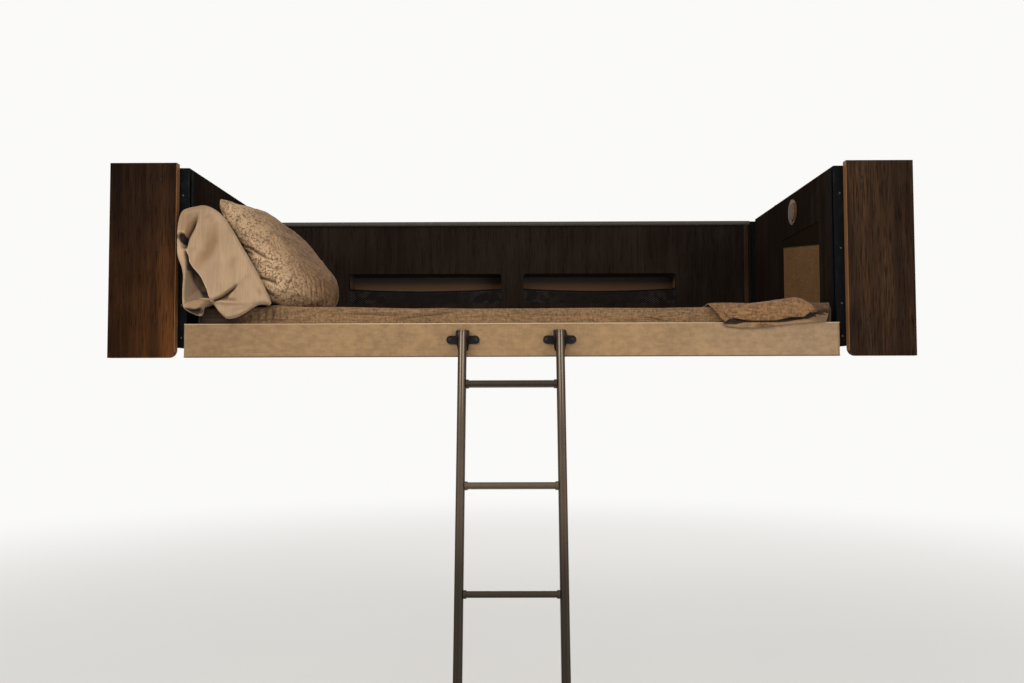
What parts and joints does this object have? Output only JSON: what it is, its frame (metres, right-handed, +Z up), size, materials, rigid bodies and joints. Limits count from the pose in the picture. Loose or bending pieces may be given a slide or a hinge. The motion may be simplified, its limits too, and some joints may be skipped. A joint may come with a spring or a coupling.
{
  "type": "overcab drop-down bunk with ladder",
  "caption": "Motorhome over-cab bunk: platform on wall lift rails between wood boards, with bedding, net pockets and a hooked-on ladder.",
  "frame": {"origin": "centre of the front board's top face, where it meets the ceiling", "axes": "+X to the right when facing forwards, +Y forwards, +Z up; the bunk is lowered and the ladder hooked on"},
  "size_m": [2.44, 1.6144, 2.06],
  "materials": {
    "walnut": "satin",
    "linen_inset": "matt",
    "speaker_cream": "satin",
    "pocket_liner": "matt",
    "net_black": "matt",
    "trim_grey": "satin",
    "trim_walnut": "satin",
    "rail_dark": "satin",
    "zinc_sheet": "matt",
    "frame_black": "satin",
    "plywood": "matt",
    "headliner": "matt",
    "linen_laminate": "satin",
    "laminate_edge": "satin",
    "edge_dark": "satin",
    "nylon_white": "satin",
    "mattress_navy": "matt",
    "blanket_brown": "matt",
    "pillow_cream": "matt",
    "pillow_motif": "matt",
    "throw_brown": "matt",
    "ladder_bronze": "semi-gloss",
    "moulding_black": "satin",
    "pin_steel": "satin",
    "foot_rubber": "matt"
  },
  "bodies": {
    "surround": {"side_board_left": "walnut", "side_panel_left": "walnut", "inset_panel_left": "linen_inset", "speaker_left": "speaker_cream", "pocket_tray_left": "pocket_liner", "pocket_net_left": "net_black", "corner_trim_left": "trim_walnut", "lift_rail_aft_left": "rail_dark", "wall_bracket_aft_left": "zinc_sheet", "lift_rail_front_left": "rail_dark", "wall_bracket_front_left": "zinc_sheet", "side_board_right": "walnut", "side_panel_right": "walnut", "inset_panel_right": "linen_inset", "speaker_right": "speaker_cream", "pocket_tray_right": "pocket_liner", "pocket_net_right": "net_black", "corner_trim_right": "trim_walnut", "lift_rail_aft_right": "rail_dark", "wall_bracket_aft_right": "zinc_sheet", "lift_rail_front_right": "rail_dark", "wall_bracket_front_right": "zinc_sheet", "front_board": "walnut", "ceiling_trim": "trim_grey"},
    "platform": {"frame_rail_aft": "frame_black", "frame_rail_front": "frame_black", "cross_member_1": "frame_black", "cross_member_2": "frame_black", "cross_member_3": "frame_black", "deck": "plywood", "underside_panel": "headliner", "fascia": "linen_laminate", "fascia_top_trim": "laminate_edge", "fascia_bottom_trim": "edge_dark", "mattress": "mattress_navy", "blanket": "blanket_brown", "pillow_plain": "pillow_cream", "pillow_patterned": "pillow_motif", "folded_throw": "throw_brown", "ladder_bracket_left": "moulding_black", "ladder_bracket_right": "moulding_black", "guide_block_aft_left": "nylon_white", "guide_block_aft_right": "nylon_white", "guide_block_front_left": "nylon_white", "guide_block_front_right": "nylon_white"},
    "ladder_pins": {"hook_pin_left": "pin_steel", "hook_pin_right": "pin_steel"},
    "ladder": {"ladder_head_left": "ladder_bronze", "ladder_stile_left": "ladder_bronze", "ladder_foot_left": "foot_rubber", "ladder_head_right": "ladder_bronze", "ladder_stile_right": "ladder_bronze", "ladder_foot_right": "foot_rubber", "rung_1": "ladder_bronze", "rung_2": "ladder_bronze", "rung_3": "ladder_bronze", "rung_4": "ladder_bronze", "rung_5": "ladder_bronze"}
  },
  "joints": [
    {"name": "bunk_lift", "type": "slide", "parent": "surround", "child": "platform", "axis": [0, 0, 1], "range_m": [0, 0.28], "deforming": ["pillow_plain", "pillow_patterned"]},
    {"name": "ladder_lift", "type": "slide", "parent": "platform", "child": "ladder_pins", "axis": [0, 0, 1], "range_m": [0, 0.06]},
    {"name": "ladder_swing", "type": "hinge", "parent": "ladder_pins", "child": "ladder", "pos_m": [0, -1.093, -0.531], "axis": [-1, 0, 0], "range_deg": [0, 60]}
  ]
}
